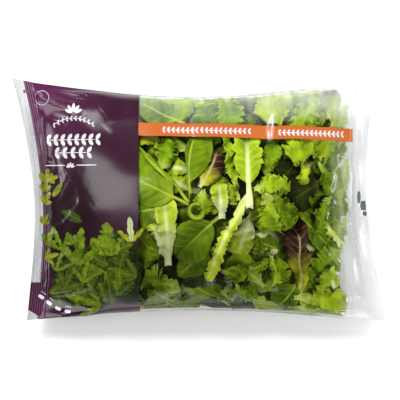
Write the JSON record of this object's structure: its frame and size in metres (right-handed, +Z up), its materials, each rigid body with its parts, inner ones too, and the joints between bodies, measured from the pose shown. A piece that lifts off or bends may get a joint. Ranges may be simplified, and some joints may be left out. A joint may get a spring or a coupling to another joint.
{
  "type": "bag of salad leaves",
  "caption": "Sealed clear pillow bag of mixed salad leaves with a plum printed panel and an orange band, lying flat; a reusable grocery pack.",
  "frame": {"origin": "middle of the bag's underside, on the plane it rests on", "axes": "+X along the bag from the plum panel to the clear end, +Y across it towards the orange band's side, +Z up out of the printed side"},
  "size_m": [0.3488, 0.226, 0.0767],
  "materials": {
    "bag_film": "thin glossy clear film, printed plum and orange",
    "salad_leaf": "fresh leaf, satin, slightly translucent",
    "print_ink": "gloss ink under film"
  },
  "bodies": {
    "root": {"salad_bag": "bag_film"}
  },
  "joints": []
}
